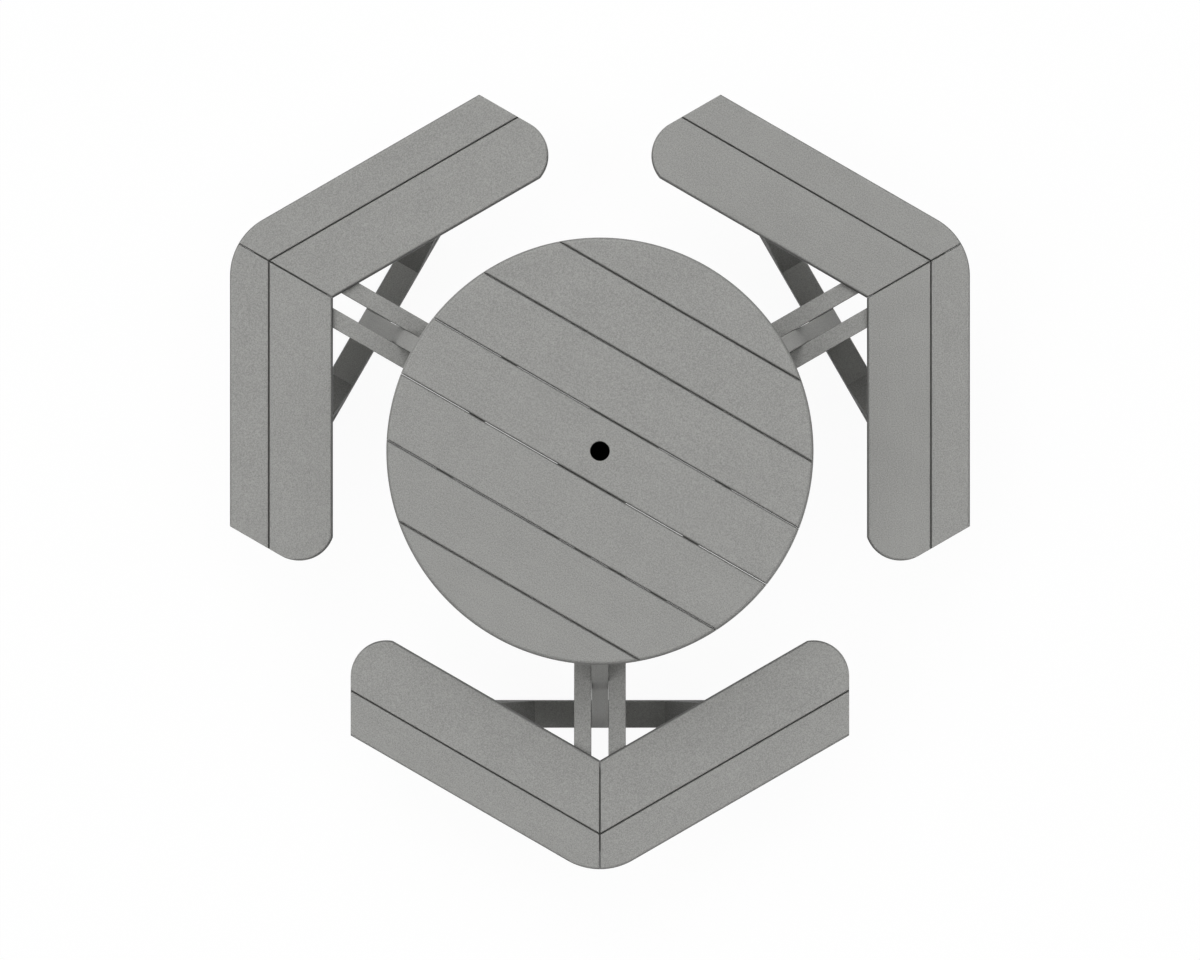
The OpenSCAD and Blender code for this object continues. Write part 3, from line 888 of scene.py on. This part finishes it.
@dataclass
class ArmFrame:
    """What carries one seat: leg, foot board, rails, struts, cleats and block."""

    arm: Arm
    first_seed: int
    leg_climb: float = 65.9
    strut_climb: float = 37.8

    def build(self) -> None:
        """Dresses the pieces of the frame, each with its grain along it."""
        place = self.arm.name.lower()
        out, aside = self.arm.value, self.arm.value + 90.0
        pieces: list[tuple[str, MouldedPlastic, Direction]] = [
            # The head cleats are black as painted shade for the dark gaps beside each leg's head.
            (f"head_cleats_{place}", PAINTED_SHADE_BLACK, heading(out)),
            # The leg's lighter plastic is painted light.
            (f"leg_{place}", LEG_PAINTED_LIGHT, heading(out, -self.leg_climb)),
            (f"foot_{place}", BEAM, heading(aside)),
            (f"seat_cleats_{place}", BEAM, heading(out)),
            (f"rail_block_{place}", BEAM, heading(out)),
            (f"seat_rail_{place}_a", BEAM, heading(out)),
            (f"seat_rail_{place}_b", BEAM, heading(out)),
            # The struts' darker plastic is painted shade.
            (f"strut_{place}_a", STRUT_PAINTED_SHADE, heading(aside, self.strut_climb)),
            (f"strut_{place}_b", STRUT_PAINTED_SHADE, heading(aside + 180.0, self.strut_climb)),
        ]
        for number, (name, plastic, along) in enumerate(pieces):
            dress_node(name, plastic.material(along, self.first_seed + number))


def dress_hub() -> None:
    """Dresses the two boards in the middle black: painted shade for the deep shadow down the
    umbrella hole.
    """
    for number, name in enumerate(("hub_board_upper", "hub_board_lower")):
        plastic = PAINTED_SHADE_BLACK.material(heading(TableTop.angle + 90.0), HUB_SEED + number)
        dress_node(name, plastic)


def dress_fasteners() -> None:
    """Dresses the bolts, nuts, washers and screws."""
    steel = STEEL.material()
    for name in ("rail_bolts", "head_bolts", "bolt_washers", "bolt_nuts", "top_screws",
                 "seat_screws", "frame_screws"):
        dress_node(name, steel)


# The stage


@dataclass(frozen=True)
class Lamp:
    """A wide, soft lamp far away, turned to an azimuth and an elevation in degrees.

    Its level is what it adds to the light of a face that looks straight up.
    """

    name: str
    azimuth: float
    elevation: float
    level: float
    spread: float = 40.0

    def hang(self) -> None:
        """Makes the lamp, turned towards the table."""
        data = bpy.data.lights.new(self.name, "SUN")
        data.energy = self.level * math.pi / math.sin(math.radians(self.elevation))
        data.angle = math.radians(self.spread)
        hung = bpy.data.objects.new(self.name, data)
        lean, bearing = math.radians(90.0 - self.elevation), math.radians(self.azimuth)
        hung.rotation_euler = (0.0, lean, bearing)
        bpy.context.scene.collection.objects.link(hung)


@dataclass
class Studio:
    """Camera over the table, a white floor, a soft ring of light overhead and three weak lamps.

    The foot, top, rise and fall say between which heights of the sky, from 0 level with the
    ground to 1 overhead, the walls and the ring begin or fade.
    """

    camera_place: tuple[float, float, float] = (0.0002, 0.0059, 9.504)
    focal_px: float = 3077.5
    image_width_px: float = 1200.0
    sensor_mm: float = 36.0
    farthest: float = 200.0
    floor_half: float = 40.0
    floor_albedo: float = 1.0
    floor_white_share: float = 0.95
    wall_level: float = 0.82
    wall_lean: float = 0.5
    wall_foot: Pair = (-0.01, 0.01)
    wall_top: Pair = (0.229, 0.289)
    ring_level: float = 1.57
    ring_rise: Pair = (0.789, 0.849)
    ring_fall: Pair = (0.921, 0.981)
    lamps: tuple[Lamp, ...] = (
        Lamp("far_lamp", 100.0, 50.0, 0.233),
        Lamp("left_lamp", 190.0, 50.0, 0.170),
        Lamp("right_lamp", 10.0, 50.0, 0.101),
    )

    def camera(self) -> None:
        """Sets the camera straight above, at the photograph's distance and width of view."""
        data = bpy.data.cameras.new("camera")
        data.sensor_width = self.sensor_mm
        data.lens = self.focal_px / self.image_width_px * self.sensor_mm
        data.clip_end = self.farthest
        eye = bpy.data.objects.new("camera", data)
        eye.location = self.camera_place
        bpy.context.scene.collection.objects.link(eye)
        bpy.context.scene.camera = eye

    def floor(self) -> None:
        """Makes the floor: nearly white where it is seen, with soft shadows, and pale elsewhere."""
        half = self.floor_half
        signs = ((-1, -1), (1, -1), (1, 1), (-1, 1))
        corners = [(x * half, y * half, 0.0) for x, y in signs]
        mesh = bpy.data.meshes.new("floor")
        mesh.from_pydata(corners, [], [[0, 1, 2, 3]])
        material, bench = new_material("floor_white")
        pale = (self.floor_albedo, self.floor_albedo, self.floor_albedo, 1.0)
        matt = bench.node("ShaderNodeBsdfDiffuse", {}, {"Color": pale})
        glow = bench.node("ShaderNodeEmission", {}, {"Color": WHITE, "Strength": 1.0})
        path = bench.node("ShaderNodeLightPath", {}, {})
        camera, glossy, through = (
            Wire(bench, path.outputs[name])
            for name in ("Is Camera Ray", "Is Glossy Ray", "Is Transmission Ray"))
        seen = (camera + glossy + through).clamped()
        mixed = bench.node("ShaderNodeMixShader", {}, {
            0: seen * self.floor_white_share,
            1: Wire(bench, matt.outputs[0]), 2: Wire(bench, glow.outputs[0])})
        bench.end("ShaderNodeOutputMaterial", "Surface", mixed)
        mesh.materials.append(material)
        floor = bpy.data.objects.new("floor", mesh)
        bpy.context.scene.collection.objects.link(floor)

    def sky(self) -> None:
        """Makes pale walls low down and a soft ring high up, all white where the camera sees it."""
        world = bpy.data.worlds.new("sky")
        bpy.context.scene.world = world
        world.use_nodes = True
        bench = Bench(world.node_tree)
        way = bench.wire("ShaderNodeTexCoord", {}, {}, "Generated")
        split = bench.node("ShaderNodeSeparateXYZ", {}, {"Vector": way})
        back_way, height = Wire(bench, split.outputs["Y"]), Wire(bench, split.outputs["Z"])
        ring = height.ramp(*self.ring_rise) * (1.0 - height.ramp(*self.ring_fall))
        walls = height.ramp(*self.wall_foot) * (1.0 - height.ramp(*self.wall_top))
        walls = walls * (1.0 + self.wall_lean * back_way)
        shine = self.ring_level * ring + self.wall_level * walls
        seen = bench.wire("ShaderNodeLightPath", {}, {}, "Is Camera Ray")
        strength = shine + seen * (1.0 - shine)
        back = bench.node("ShaderNodeBackground", {}, {"Color": WHITE, "Strength": strength})
        bench.end("ShaderNodeOutputWorld", "Surface", back)

    def build(self) -> None:
        """Sets the camera, the floor and the light."""
        self.camera()
        self.floor()
        self.sky()
        for lamp in self.lamps:
            lamp.hang()
        bpy.context.scene.view_settings.view_transform = "Standard"


def main() -> None:
    """Builds the studio and the table, piece by piece."""
    logging.basicConfig(level=logging.INFO, format="%(message)s")
    Studio().build()
    TableTop().build()
    for number, arm in enumerate(Arm):
        Seat(arm, SEAT_SEED + SEAT_PIECES * number).build()
        ArmFrame(arm, FRAME_SEED + FRAME_PIECES * number).build()
    dress_hub()
    dress_fasteners()


if __name__ == "__main__":
    main()
